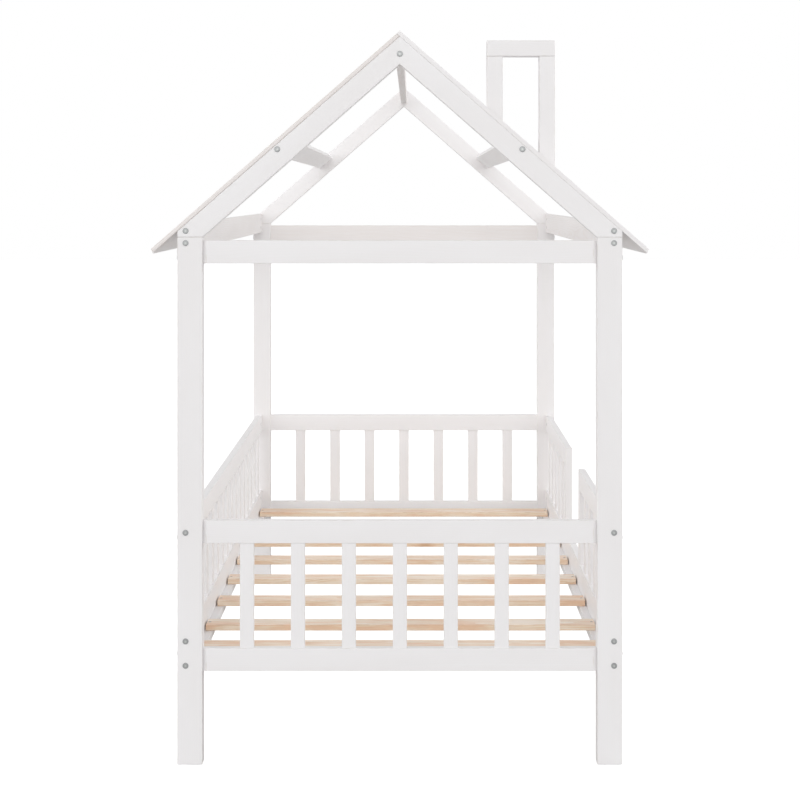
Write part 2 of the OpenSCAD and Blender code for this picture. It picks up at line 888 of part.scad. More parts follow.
barrel_nuts();
dowels();
slat_screws();
board_screws();
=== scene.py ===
# %% [markdown]
# # A child's single bed, built as a house frame
# The bed in the photograph is a painted pine frame: four posts, rails with low picket fences, a slatted base
# left in bare pine, and an open gable roof with a small chimney. The exact solids of every stick of timber and
# every fastener are the fixed frame of this scene. Each step below dresses some of them: it rounds the sharp
# edges as a router would, lays the grain along each board, and gives the paint, the bare wood and the zinc a
# finish made only from nodes.

import math

import bmesh
import bpy
import numpy as np
from mathutils import Matrix, Vector


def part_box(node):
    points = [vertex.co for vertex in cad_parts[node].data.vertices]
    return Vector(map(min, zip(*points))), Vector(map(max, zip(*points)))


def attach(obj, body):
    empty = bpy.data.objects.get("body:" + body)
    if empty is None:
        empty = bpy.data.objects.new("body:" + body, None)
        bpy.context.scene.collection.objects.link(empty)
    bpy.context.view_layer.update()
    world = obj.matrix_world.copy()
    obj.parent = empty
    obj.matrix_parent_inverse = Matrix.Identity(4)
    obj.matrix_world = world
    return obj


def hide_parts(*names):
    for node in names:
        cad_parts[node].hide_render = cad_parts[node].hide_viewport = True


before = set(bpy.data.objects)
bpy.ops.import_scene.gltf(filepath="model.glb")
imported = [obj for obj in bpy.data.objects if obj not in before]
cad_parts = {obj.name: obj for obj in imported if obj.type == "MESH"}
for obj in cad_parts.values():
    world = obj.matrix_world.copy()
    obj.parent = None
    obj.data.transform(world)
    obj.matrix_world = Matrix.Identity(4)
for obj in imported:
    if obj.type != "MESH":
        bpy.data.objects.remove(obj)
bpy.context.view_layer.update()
print("solids in the frame:", len(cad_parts))

# %% [markdown]
# ## The camera
# The photograph was taken square to the foot end with a long lens, at about the height of the low roof edge,
# and all uprights are exactly parallel. A level camera with a shifted lens does the same: tilting it down would
# make the posts lean. Place and focal length come from the perspective of the rails.

# %% Set up the camera
lens = bpy.data.cameras.new("studio camera")
lens.lens, lens.sensor_width = 76.8, 36.0
lens.shift_x, lens.shift_y = -0.0155, -0.2571
lens.clip_end = 100.0
camera = bpy.data.objects.new("studio camera", lens)
camera.location = (0.030, -5.057, 1.358)
camera.rotation_euler = (math.radians(90), 0, 0)
bpy.context.scene.collection.objects.link(camera)
bpy.context.scene.camera = camera
foot_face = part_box("foot_left_post")[0].y
print("camera stands", round(foot_face - camera.location.y, 2), "m in front of the foot posts")


# %% [markdown]
# ## Small helpers for node trees
# Every finish and every row of parts below is a node tree written in code. Two helpers keep that short: one adds
# a node and fills its inputs with numbers or links, the other opens a new group with named inputs and outputs.

# %% Helpers that add nodes and open groups
def node(tree, kind, inputs=None, **settings):
    """Adds a node, sets its options and fills its inputs, by name or number, with values or links."""
    made = tree.nodes.new(kind)
    for option, value in settings.items():
        setattr(made, option, value)
    for key, value in (inputs or {}).items():
        if isinstance(value, bpy.types.NodeSocket):
            tree.links.new(value, made.inputs[key])
        else:
            made.inputs[key].default_value = value
    return made


def calc(tree, operation, *values):
    """One step of arithmetic on numbers."""
    return node(tree, "ShaderNodeMath", dict(enumerate(values)), operation=operation).outputs[0]


def vec(tree, operation, *values):
    """One step of arithmetic on vectors."""
    return node(tree, "ShaderNodeVectorMath", dict(enumerate(values)), operation=operation).outputs[0]


def new_group(name, kind, takes, gives):
    """An empty group: each of takes and gives maps a socket's name to its type and its default."""
    tree = bpy.data.node_groups.new(name, kind)
    for way, sockets in (("INPUT", takes), ("OUTPUT", gives)):
        for label, (form, default) in sockets.items():
            socket = tree.interface.new_socket(label, in_out=way, socket_type="NodeSocket" + form)
            if default is not None:
                socket.default_value = default
    return tree, tree.nodes.new("NodeGroupInput").outputs, tree.nodes.new("NodeGroupOutput").inputs


def smooth_step(tree, value, low, high):
    """0 below low and 1 above high, with a soft turn between them."""
    step = node(tree, "ShaderNodeMapRange", {"Value": value, "From Min": low, "From Max": high},
                interpolation_type="SMOOTHSTEP")
    return step.outputs[0]


# %% [markdown]
# ## Wood grain
# Pine shows the yearly rings of the trunk. A board is a slice of that trunk, so the honest way is a solid
# pattern: distance from the heart of the tree, cut into rings, and bent a little by slow noise. The same solid
# then gives long lines on the faces and arcs on the ends, with no seam at a corner. A painted texture or a flat
# noise would break at each edge. Every board carries its own coordinates, with X along the grain, and its own
# number, so that no two boards look alike. The number says where in its pattern a board lies, how far the heart
# of the tree was from it, and how much the grain slopes.

# %% Build the wood grain group
def own_draw(tree, board, salt):
    """A number from 0 to 1 for a board, a different one for each salt."""
    return calc(tree, "FRACT", calc(tree, "MULTIPLY", board, salt))


def own_place(tree, board, step):
    """A shift that takes each board to its own place in a pattern."""
    return node(tree, "ShaderNodeVectorMath", {0: step, "Scale": board}, operation="SCALE").outputs[0]


grain_group, take, give = new_group("wood grain", "ShaderNodeTree", {
    "Vector": ("Vector", None), "Board": ("Float", 0.5), "Ring Gap": ("Float", 0.004),
    "Wander": ("Float", 0.006), "Swirl": ("Float", 0.0)}, {
    "Rings": ("Float", None), "Fibres": ("Float", None), "Cloud": ("Float", None)})
g, board = grain_group, take["Board"]
place = own_place(g, board, (53.1, 17.7, 29.3))
slow_spot = vec(g, "ADD", vec(g, "MULTIPLY", take["Vector"], (0.15, 1.0, 1.0)), place)
slow = node(g, "ShaderNodeTexNoise", {"Vector": slow_spot, "Scale": 14.0, "Detail": 2.0})
push = node(g, "ShaderNodeVectorMath", {0: vec(g, "SUBTRACT", slow.outputs["Color"], (0.5, 0.5, 0.5)),
                                        "Scale": calc(g, "MULTIPLY", take["Wander"], 4.0)}, operation="SCALE")
bent = node(g, "ShaderNodeSeparateXYZ", {0: vec(g, "ADD", take["Vector"], push.outputs[0])})
heart_side = calc(g, "MULTIPLY", calc(g, "SUBTRACT", own_draw(g, board, 7.31), 0.5), 0.07)
heart_depth = calc(g, "MULTIPLY_ADD", own_draw(g, board, 3.77), 0.05, 0.012)
slope = calc(g, "MULTIPLY", calc(g, "SUBTRACT", own_draw(g, board, 5.9), 0.5), 0.05)
off_side = calc(g, "SUBTRACT", bent.outputs["Y"], heart_side)
off_depth = calc(g, "ADD", calc(g, "ADD", bent.outputs["Z"], heart_depth),
                 calc(g, "MULTIPLY", bent.outputs["X"], slope))
reach = calc(g, "SQRT", calc(g, "ADD", calc(g, "MULTIPLY", off_side, off_side),
                             calc(g, "MULTIPLY", off_depth, off_depth)))
ring = calc(g, "FRACT", calc(g, "DIVIDE", calc(g, "ADD", reach, take["Swirl"]), take["Ring Gap"]))
fine_spot = vec(g, "ADD", vec(g, "MULTIPLY", take["Vector"], (0.025, 1.0, 1.0)), place)
fine = node(g, "ShaderNodeTexNoise", {"Vector": fine_spot, "Scale": 520.0, "Detail": 3.0, "Roughness": 0.65})
g.links.new(calc(g, "POWER", ring, 2.2), give["Rings"])
g.links.new(fine.outputs[0], give["Fibres"])
g.links.new(slow.outputs[0], give["Cloud"])
print("wood grain group:", len(g.nodes), "nodes")

# %% [markdown]
# ## Knots
# A knot is where a branch left the trunk: a dark, almost round plug with the grain flowing round it. A Voronoi
# pattern scatters them, because each cell has one centre and one random colour, and that colour decides whether
# the cell gets a knot at all and how large it is. A cell is about 12 cm long and 7 cm wide. Swirl is the push
# that bends the rings round the knot.

# %% Build the knots group
knot_group, take, give = new_group("knots", "ShaderNodeTree", {
    "Vector": ("Vector", None), "Board": ("Float", 0.5), "Share": ("Float", 0.2)}, {
    "Knot": ("Float", None), "Halo": ("Float", None), "Swirl": ("Float", None)})
g = knot_group
spot = vec(g, "ADD", vec(g, "MULTIPLY", take["Vector"], (8.0, 15.0, 15.0)),
           own_place(g, take["Board"], (31.7, 71.3, 12.9)))
cells = node(g, "ShaderNodeTexVoronoi", {"Vector": spot, "Scale": 1.0, "Randomness": 0.85})
draw = node(g, "ShaderNodeSeparateColor", {0: cells.outputs["Color"]})
there = calc(g, "LESS_THAN", draw.outputs[0], take["Share"])
size = calc(g, "MULTIPLY_ADD", draw.outputs[1], 0.08, 0.05)
knot = calc(g, "MULTIPLY", there, smooth_step(g, cells.outputs["Distance"], size,
                                              calc(g, "MULTIPLY", size, 0.7)))
halo = calc(g, "MULTIPLY", there, smooth_step(g, cells.outputs["Distance"], calc(g, "MULTIPLY", size, 3.0), size))
g.links.new(knot, give["Knot"])
g.links.new(halo, give["Halo"])
g.links.new(calc(g, "MULTIPLY", halo, 0.008), give["Swirl"])
print("knots group:", len(g.nodes), "nodes")

# %% [markdown]
# ## Paint film and edges darkened as painted shade
# Sprayed furniture paint levels out, but never quite: it keeps a faint orange peel, and the raised grain of the
# pine still telegraphs through it. The rounded edges are darkened in patches, as painted shade along the edges.
# Both effects serve more than one finish here, so each is a group of its own that puts out only a mask or a
# height.

# %% Build the film and the shaded edge groups
film_group, take, give = new_group("sprayed film", "ShaderNodeTree", {
    "Vector": ("Vector", None), "Peel Size": ("Float", 0.004)}, {
    "Height": ("Float", None), "Cloud": ("Float", None)})
g = film_group
peel = node(g, "ShaderNodeTexNoise", {"Vector": take["Vector"], "Detail": 2.0,
                                      "Scale": calc(g, "DIVIDE", 1.0, take["Peel Size"])})
grit = node(g, "ShaderNodeTexNoise", {"Vector": take["Vector"], "Scale": 1400.0, "Detail": 1.0})
patch = node(g, "ShaderNodeTexNoise", {"Vector": vec(g, "MULTIPLY", take["Vector"], (0.3, 1.0, 1.0)),
                                       "Scale": 9.0, "Detail": 3.0})
g.links.new(calc(g, "MULTIPLY_ADD", grit.outputs[0], 0.3, calc(g, "MULTIPLY", peel.outputs[0], 0.7)),
            give["Height"])
g.links.new(smooth_step(g, patch.outputs[0], 0.35, 0.65), give["Cloud"])

# darkens the rounded edges in patches: painted shade along the edges
rub_and_shade_group, take, give = new_group("rubbed and shaded edge", "ShaderNodeTree", {
    "Vector": ("Vector", None), "Arris": ("Float", 0.0), "Amount": ("Float", 0.5)}, {"Rubbed": ("Float", None)})
g = rub_and_shade_group
bits = node(g, "ShaderNodeTexNoise", {"Vector": take["Vector"], "Scale": 45.0, "Detail": 4.0})
g.links.new(calc(g, "MULTIPLY", calc(g, "MULTIPLY", take["Arris"], take["Amount"]),
                 smooth_step(g, bits.outputs[0], 0.4, 0.7)), give["Rubbed"])
print("film and rubbed and shaded edge groups are ready")


# %% [markdown]
# ## Reading a board's own coordinates
# Object coordinates would be right for boards that lie square to the bed, but the rafters slope and the posts
# stand. So each board stores a vector attribute called grain, in metres with X along its fibres, one number
# called board, and a mask called arris that is 1 on its rounded edges. Each material starts by reading them.

# %% Helpers that start a material
def mixed(tree, share, first, second, blend="MIX"):
    """Mixes two colours and returns the result."""
    made = node(tree, "ShaderNodeMix", data_type="RGBA", blend_type=blend)
    for key, value in ((0, share), (6, first), (7, second)):
        if isinstance(value, bpy.types.NodeSocket):
            tree.links.new(value, made.inputs[key])
        else:
            made.inputs[key].default_value = value if key == 0 else (*value, 1.0)
    return made.outputs[2]


def group(tree, made, **inputs):
    """Places one of the groups above in a material."""
    placed = tree.nodes.new("ShaderNodeGroup")
    placed.node_tree = made
    for label, value in inputs.items():
        socket = placed.inputs[label.replace("_", " ")]
        if isinstance(value, bpy.types.NodeSocket):
            tree.links.new(value, socket)
        else:
            socket.default_value = value
    return placed.outputs


def new_finish(name):
    """A material with its main shader, and the three readings that every board carries."""
    finish = bpy.data.materials.new(name)
    finish.use_nodes = True
    tree = finish.node_tree
    shader = tree.nodes["Principled BSDF"]
    lay = node(tree, "ShaderNodeAttribute", attribute_name="grain").outputs["Vector"]
    board = node(tree, "ShaderNodeAttribute", attribute_name="board").outputs["Fac"]
    arris = node(tree, "ShaderNodeAttribute", attribute_name="arris").outputs["Fac"]
    return finish, tree, shader, lay, board, arris


def relief(tree, shader, height, strength, distance):
    """Feeds a height to the shader as small relief."""
    bump = node(tree, "ShaderNodeBump", {"Height": height, "Strength": strength, "Distance": distance})
    tree.links.new(bump.outputs[0], shader.inputs["Normal"])


# %% [markdown]
# ## White paint
# The frame is sprayed in a semi-matt white with the faintest rose in it. Up close it has faint clouds, and the
# grain under it lifts the surface by hundredths of a millimetre. The rounded edges are darker and warmer in
# patches, which is painted shade along the edges. On the left verge board the whole coat is thin and the pine
# shows pinkish through it. The timbers inside the roof get the same warm, streaky darkening as painted shade,
# so each board also carries a number for its thin coat and painted shade.
# One material serves all painted timber, because these readings already make each board differ.

# %% Make the white paint
white_paint, t, shader, lay, board, arris = new_finish("white paint")
grain = group(t, grain_group, Vector=lay, Board=board, Ring_Gap=0.0045, Wander=0.008)
film = group(t, film_group, Vector=lay, Peel_Size=0.005)
# the rounded edges are darkened in patches as painted shade
rub_and_shade = group(t, rub_and_shade_group, Vector=lay, Arris=arris, Amount=0.45)
# a thin coat on the left verge board, and painted shade on the timbers inside the roof
thin_coat_and_shade = node(t, "ShaderNodeAttribute", attribute_name="thin_coat_and_shade").outputs["Fac"]
fresh, hazy, over_rings = (0.880, 0.866, 0.872), (0.862, 0.844, 0.846), (0.78, 0.76, 0.73)
pine_below_and_shade, rubbed_and_shaded_paint = (0.70, 0.58, 0.50), (0.74, 0.70, 0.65)
tint = mixed(t, film["Cloud"], fresh, hazy)
tint = mixed(t, calc(t, "MULTIPLY", grain["Rings"], 0.10), tint, over_rings)
wood_lines = calc(t, "MULTIPLY_ADD", grain["Rings"], 0.6, calc(t, "MULTIPLY", grain["Fibres"], 0.7))
# pine colour mixed in along the grain: a thin coat on the verge board, painted shade on the roof timbers
tint = mixed(t, calc(t, "MULTIPLY", thin_coat_and_shade, wood_lines), tint, pine_below_and_shade)
tint = mixed(t, rub_and_shade["Rubbed"], tint, rubbed_and_shaded_paint)
t.links.new(tint, shader.inputs["Base Color"])
t.links.new(calc(t, "MULTIPLY_ADD", film["Cloud"], 0.08, calc(t, "MULTIPLY_ADD", grain["Fibres"], 0.10, 0.34)),
            shader.inputs["Roughness"])
lift = calc(t, "MULTIPLY_ADD", grain["Rings"], 0.35, calc(t, "MULTIPLY", grain["Fibres"], 0.35))
relief(t, shader, calc(t, "MULTIPLY_ADD", film["Height"], 0.5, lift), 0.30, 0.0003)
print("white paint is ready")

# %% [markdown]
# ## Bare pine
# The slats are the only bare wood on the bed, planed pine without any finish: pale pinkish sapwood, darker
# latewood lines, brown knots, and clear differences from one slat to the next. The colours are mixed in the
# order in which the wood grew: rings first, then fibres, the board's own tone, long streaks, and the knots on
# top. The narrow sides are made yellower and darker than the top and bottom faces, which is painted shade, so
# the slats carry a mask for their sides.

# %% Make the bare pine
raw_pine, t, shader, lay, board, arris = new_finish("raw pine")
knots = group(t, knot_group, Vector=lay, Board=board, Share=0.30)
grain = group(t, grain_group, Vector=lay, Board=board, Ring_Gap=0.0042, Wander=0.010, Swirl=knots["Swirl"])
# the rounded edges of the slats are darkened in patches as painted shade
rub_and_shade = group(t, rub_and_shade_group, Vector=lay, Arris=arris, Amount=0.5)
streak_spot = vec(t, "ADD", vec(t, "MULTIPLY", lay, (0.60, 4.5, 4.5)), own_place(t, board, (37.0, 0.0, 0.0)))
streak = node(t, "ShaderNodeTexNoise", {"Vector": streak_spot, "Scale": 11.0, "Detail": 3.0,
                                        "Roughness": 0.6}).outputs[0]
sapwood, latewood, fibre_brown = (0.96, 0.86, 0.745), (0.81, 0.585, 0.40), (0.82, 0.64, 0.48)
# the second colour darkens and yellows the narrow sides of the slats: painted shade
warm_board, side_shade_tint = (0.89, 0.645, 0.475), (0.98, 0.945, 0.885)
patches = (
    (smooth_step(t, streak, 0.48, 0.64), 0.75, (0.86, 0.585, 0.42)),         # dark streaks
    (smooth_step(t, streak, 0.48, 0.34), 0.65, (0.97, 0.89, 0.81)),          # pale streaks
    (smooth_step(t, grain["Cloud"], 0.50, 0.75), 0.60, (0.95, 0.86, 0.76)),  # pale clouds
    (knots["Halo"], 0.55, (0.58, 0.33, 0.17)),                               # resin round a knot
    (knots["Knot"], 1.0, (0.24, 0.11, 0.05)),                                # the knot
    (rub_and_shade["Rubbed"], 1.0, (0.55, 0.38, 0.25)))                                # edges darkened in patches: painted edge shade
tint = mixed(t, calc(t, "MULTIPLY", grain["Rings"], 0.9), sapwood, latewood)
tint = mixed(t, calc(t, "MULTIPLY", grain["Fibres"], 0.35), tint, fibre_brown)
tint = mixed(t, calc(t, "MULTIPLY", own_draw(t, board, 11.3), 0.40), tint, warm_board)
for mask, strength, colour in patches:
    tint = mixed(t, calc(t, "MULTIPLY", mask, strength), tint, colour)
# the narrow sides of each slat are darkened as painted shade
shaded_sides = node(t, "ShaderNodeAttribute", attribute_name="shaded_sides").outputs["Fac"]
tint = mixed(t, shaded_sides, tint, side_shade_tint, "MULTIPLY")
t.links.new(tint, shader.inputs["Base Color"])
t.links.new(calc(t, "MULTIPLY_ADD", grain["Rings"], -0.14, 0.66), shader.inputs["Roughness"])
lift = calc(t, "MULTIPLY_ADD", grain["Rings"], 0.5, calc(t, "MULTIPLY", grain["Fibres"], 0.5))
relief(t, shader, lift, 0.35, 0.0004)
print("raw pine is ready")

# %% [markdown]
# ## Beech
# Dowel rod is beech: even, close grained and flecked with short dark rays. It is the same grain group with a
# narrow ring gap and short flecks instead of knots.

# %% Make the beech
beech, t, shader, *_ = new_finish("beech")
object_place = node(t, "ShaderNodeTexCoord").outputs["Object"]
grain = group(t, grain_group, Vector=object_place, Board=0.31, Ring_Gap=0.0022, Wander=0.002)
fleck = node(t, "ShaderNodeTexNoise", {"Vector": vec(t, "MULTIPLY", object_place, (0.3, 1.0, 1.0)),
                                       "Scale": 900.0, "Detail": 1.0})
early_beech, late_beech, ray_fleck = (0.62, 0.43, 0.26), (0.50, 0.32, 0.18), (0.36, 0.21, 0.11)
tint = mixed(t, grain["Rings"], early_beech, late_beech)
tint = mixed(t, smooth_step(t, fleck.outputs[0], 0.60, 0.70), tint, ray_fleck)
t.links.new(tint, shader.inputs["Base Color"])
t.links.new(calc(t, "MULTIPLY_ADD", grain["Fibres"], 0.12, 0.52), shader.inputs["Roughness"])
relief(t, shader, grain["Fibres"], 0.3, 0.0002)
print("beech is ready")

# %% [markdown]
# ## Bright zinc
# Bolts, barrel nuts and screws are steel with bright zinc plating. It is a metal with a cool grey tone, fine
# scratches from the tumbling drum and cloudy patches. The socket is painted lighter, a painted highlight against
# the shade inside it, so the heads look like grey rings with a pale middle. A mask called recess marks the socket.

# %% Make the zinc
zinc, t, shader, lay, _, arris = new_finish("zinc plated steel")
film = group(t, film_group, Vector=lay, Peel_Size=0.0015)
rub_and_shade = group(t, rub_and_shade_group, Vector=lay, Arris=arris, Amount=0.6)
recess = node(t, "ShaderNodeAttribute", attribute_name="recess").outputs["Fac"]
scratch = node(t, "ShaderNodeTexNoise", {"Vector": vec(t, "MULTIPLY", lay, (1.0, 0.06, 1.0)), "Scale": 2600.0,
                                         "Detail": 2.0})
dull_zinc, clear_zinc, worn_zinc, socket_painted_light = (
    (0.37, 0.38, 0.38), (0.43, 0.44, 0.44), (0.26, 0.26, 0.27), (0.56, 0.57, 0.56))
tint = mixed(t, film["Cloud"], dull_zinc, clear_zinc)
tint = mixed(t, rub_and_shade["Rubbed"], tint, worn_zinc)
# the socket, and the cross recess of the screws in part, is painted lighter: painted light
tint = mixed(t, recess, tint, socket_painted_light)
t.links.new(tint, shader.inputs["Base Color"])
shader.inputs["Metallic"].default_value = 1.0
t.links.new(calc(t, "MULTIPLY_ADD", scratch.outputs[0], 0.20, 0.36), shader.inputs["Roughness"])
relief(t, shader, calc(t, "ADD", film["Height"], scratch.outputs[0]), 0.25, 0.00006)
print("zinc is ready")


# %% [markdown]
# ## Shading of rounded edges
# A rounded edge reads as round only if the light slides over it and the faces beside it stay flat. Plain smooth
# shading would bend the light across a whole board. The usual cure is a normal weighted by area: at each corner
# of a face, only neighbours that turn by less than a limit count, and large ones count more.

# %% Helpers that finish a mesh
def weigh_normals(mesh, limit=50.0):
    """Gives each corner the area-weighted normal of the faces that meet it gently."""
    turn = math.cos(math.radians(limit))
    faces = [(p.normal.copy(), p.area) for p in mesh.polygons]
    meet = [[] for _ in mesh.vertices]
    for p in mesh.polygons:
        for corner in p.vertices:
            meet[corner].append(p.index)
    normals = [None] * len(mesh.loops)
    for p in mesh.polygons:
        own = faces[p.index][0]
        for corner in p.loop_indices:
            total = Vector((0, 0, 0))
            for other in meet[mesh.loops[corner].vertex_index]:
                normal, area = faces[other]
                if normal.dot(own) > turn:
                    total += normal * area
            normals[corner] = total.normalized() if total.length > 0 else own
    mesh.shade_smooth()
    mesh.normals_split_custom_set(normals)


board_count = 0


def next_board():
    """A number from 0 to 1 for the next board, spread evenly by the golden ratio."""
    global board_count
    board_count += 1
    return (board_count * 0.6180339887) % 1.0


def dress(piece, *cad_nodes):
    """Puts a finished piece on the frame in place of its solids."""
    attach(piece, "root")
    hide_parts(*cad_nodes)
    return piece


# %% [markdown]
# ## Sawn and routed timber
# Posts, rails, beams and rafters differ in shape but are made in the same way: cut to size, drilled, and run
# over a router table that takes the sharp edges off. So each one starts from a copy of its solid, with all its
# bores. Flat triangles are joined into whole faces, and every long outer edge is rounded. Short edges belong
# to the rims of bores and stay crisp. So do the mitre where two rafters meet at the ridge and the end of a rail
# that butts against a post, because rounding those would open a dark groove at the joint. All sizes are in
# metres.

# %% A helper that turns a solid into a finished board
ACROSS_BED, ALONG_BED, UPRIGHT = (1, 0, 0), (0, 1, 0), (0, 0, 1)
SAME_CORNER = 1e-6                  # corners closer than this are one corner
FLAT_TURN = math.radians(0.3)       # faces that turn by less are one face
SHARP_TURN = math.radians(25)       # edges that turn by more are rounded
BORE_FACET = 0.0045                 # edges up to this long belong to the rim of a bore
END_BAND = 0.0003                   # corners this close to an end, or to the ridge, lie on it


def open_solid(name):
    """A copy of a node's mesh, with corners that share a place joined."""
    shape = bmesh.new()
    shape.from_mesh(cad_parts[name].data)
    bmesh.ops.remove_doubles(shape, verts=shape.verts, dist=SAME_CORNER)
    return shape


def timber(name, along, arris=0.0015, thin_coat_and_shade=0.0, butt=False):
    """Copies one solid, rounds its long edges, stores the lay of the grain and dresses the frame with it."""
    shape = open_solid(name)
    bmesh.ops.dissolve_limit(shape, angle_limit=FLAT_TURN, verts=shape.verts, edges=shape.edges)
    edge_mask = shape.faces.layers.float.new("arris")
    along = Vector(along).normalized()
    spread = [v.co.dot(along) for v in shape.verts]
    ends = (min(spread) + END_BAND, max(spread) - END_BAND)

    def stays_sharp(edge):
        places = [v.co.dot(along) for v in edge.verts]
        at_an_end = max(places) < ends[0] or min(places) > ends[1]
        return (butt and at_an_end) or all(abs(v.co.x) < END_BAND for v in edge.verts)

    long_edges = [e for e in shape.edges if len(e.link_faces) == 2 and e.is_convex
                  and e.calc_length() > BORE_FACET and e.calc_face_angle() > SHARP_TURN
                  and not stays_sharp(e)]
    rounded = bmesh.ops.bevel(shape, geom=long_edges, offset=arris, offset_type="OFFSET", segments=3,
                              profile=0.5, affect="EDGES", clamp_overlap=False)
    for face in rounded["faces"]:
        face[edge_mask] = 1.0
    mesh = bpy.data.meshes.new(name)
    shape.to_mesh(mesh)
    shape.free()
    stands = abs(along.z) > 0.9
    across = (along.orthogonal() if stands else Vector(UPRIGHT).cross(along)).normalized()
    low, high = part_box(name)
    turn = Matrix((along, across, along.cross(across)))
    lay = np.array([turn @ (v.co - (low + high) / 2) for v in mesh.vertices], np.float32)
    mesh.attributes.new("grain", "FLOAT_VECTOR", "POINT").data.foreach_set("vector", lay.ravel())
    number = np.full(len(mesh.vertices), next_board(), np.float32)
    mesh.attributes.new("board", "FLOAT", "POINT").data.foreach_set("value", number)
    mesh.attributes.new("thin_coat_and_shade", "FLOAT", "POINT").data.foreach_set("value", np.full_like(number, thin_coat_and_shade))
    mesh.materials.append(white_paint)
    weigh_normals(mesh)
    piece = bpy.data.objects.new("white_paint." + name, mesh)
    bpy.context.scene.collection.objects.link(piece)
    return dress(piece, name)


# %% Posts, rails and stiles
POST_ARRIS = 0.002
ROOF_PAINTED_SHADE = 0.35        # painted shade on the timbers inside the roof: how much their paint is darkened and warmed

for end in ("foot", "head"):
    for side in ("left", "right"):
        timber(f"{end}_{side}_post", UPRIGHT, POST_ARRIS)
    timber(f"{end}_bottom_rail", ACROSS_BED, butt=True)
    timber(f"{end}_guard_rail", ACROSS_BED, butt=True)
    # the head tie rail lies inside the roof and gets painted shade
    timber(f"{end}_tie_rail", ACROSS_BED, butt=True, thin_coat_and_shade=ROOF_PAINTED_SHADE if end == "head" else 0.0)
for name in ("left_side_rail", "left_guard_rail", "right_side_rail"):
    timber(name, ALONG_BED, butt=True)
for name in ("right_foot_guard_rail", "right_head_guard_rail"):
    timber(name, ALONG_BED)
for name in ("right_foot_stile", "right_head_stile"):
    timber(name, UPRIGHT)
print("boards rounded so far:", board_count)

# %% [markdown]
# ## The roof frame and the chimney
# Rafters and verge boards slope, so their grain runs down the slope. The slope itself is read from the solid of
# a verge board, whose length and drop are the two sides of a right triangle. Purlins, beams and eave boards
# run the length of the bed. The chimney is two short legs and a top board. The two slopes aren't quite alike in
# the photograph: on the left the edges are rounder, so a dark seam shows under the verge board, and its paint is
# thin. On the right the boards close up almost without a seam.

# %% Roof timber and chimney
low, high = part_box("right_verge_board")
pitch = math.atan2(high.z - low.z, high.x - low.x)
print("roof pitch read from the verge board:", round(math.degrees(pitch), 1), "degrees")
RAFTER_ARRIS = {"left": 0.0020, "right": 0.0012}
VERGE_ARRIS = {"left": 0.0024, "right": 0.0006}
VERGE_THIN = {"left": 0.50, "right": 0.08}
# painted shade on the eave beams under the roof
EAVE_BEAM_PAINTED_SHADE = 0.25
STRIP_ARRIS = 0.001

for side, sign in (("left", -1), ("right", 1)):
    down = (sign * math.cos(pitch), 0, -math.sin(pitch))
    for end in ("foot", "head"):
        timber(f"{end}_{side}_rafter", down, RAFTER_ARRIS[side])
    timber(f"{side}_verge_board", down, VERGE_ARRIS[side], VERGE_THIN[side])
    timber(f"{side}_eave_beam", ALONG_BED, butt=True, thin_coat_and_shade=EAVE_BEAM_PAINTED_SHADE)
    timber(f"{side}_purlin", ALONG_BED, butt=True)
    timber(f"{side}_eave_board", ALONG_BED, STRIP_ARRIS)
    timber(f"{side}_slat_ledger", ALONG_BED, STRIP_ARRIS)
# the ridge beam gets painted shade
timber("ridge_beam", ALONG_BED, butt=True, thin_coat_and_shade=ROOF_PAINTED_SHADE)
for name, along in (("inner_leg", UPRIGHT), ("outer_leg", UPRIGHT), ("top_board", ACROSS_BED)):
    timber("chimney_" + name, along, POST_ARRIS)
print("boards rounded in all:", board_count)


# %% [markdown]
# ## Rows of pickets
# A fence is one picket repeated at an even pitch, so it is a natural job for Geometry Nodes: a rounded rectangle
# is swept along a straight line, and the finished picket is instanced on points. The points come from the solids
# of the pickets themselves, one point for each, so the row can't drift. The tree stores the grain before the
# copies are made, and a random number for each board after it. It ends in Realize Instances, because copies that
# exist only at render time are lost when the bed is exported.

# %% Helpers that run a geometry tree
def geometry(tree, kind, inputs=None, **settings):
    """Adds a geometry node and returns its first output."""
    return node(tree, kind, inputs, **settings).outputs[0]


def store(tree, shape, label, value, form="FLOAT", domain="POINT"):
    """Stores a named attribute on a geometry."""
    made = node(tree, "GeometryNodeStoreNamedAttribute", data_type=form, domain=domain)
    tree.links.new(shape, made.inputs["Geometry"])
    made.inputs["Name"].default_value = label
    socket = next(s for s in made.inputs if s.name == "Value" and s.enabled)
    if isinstance(value, bpy.types.NodeSocket):
        tree.links.new(value, socket)
    else:
        socket.default_value = value
    return made.outputs[0]


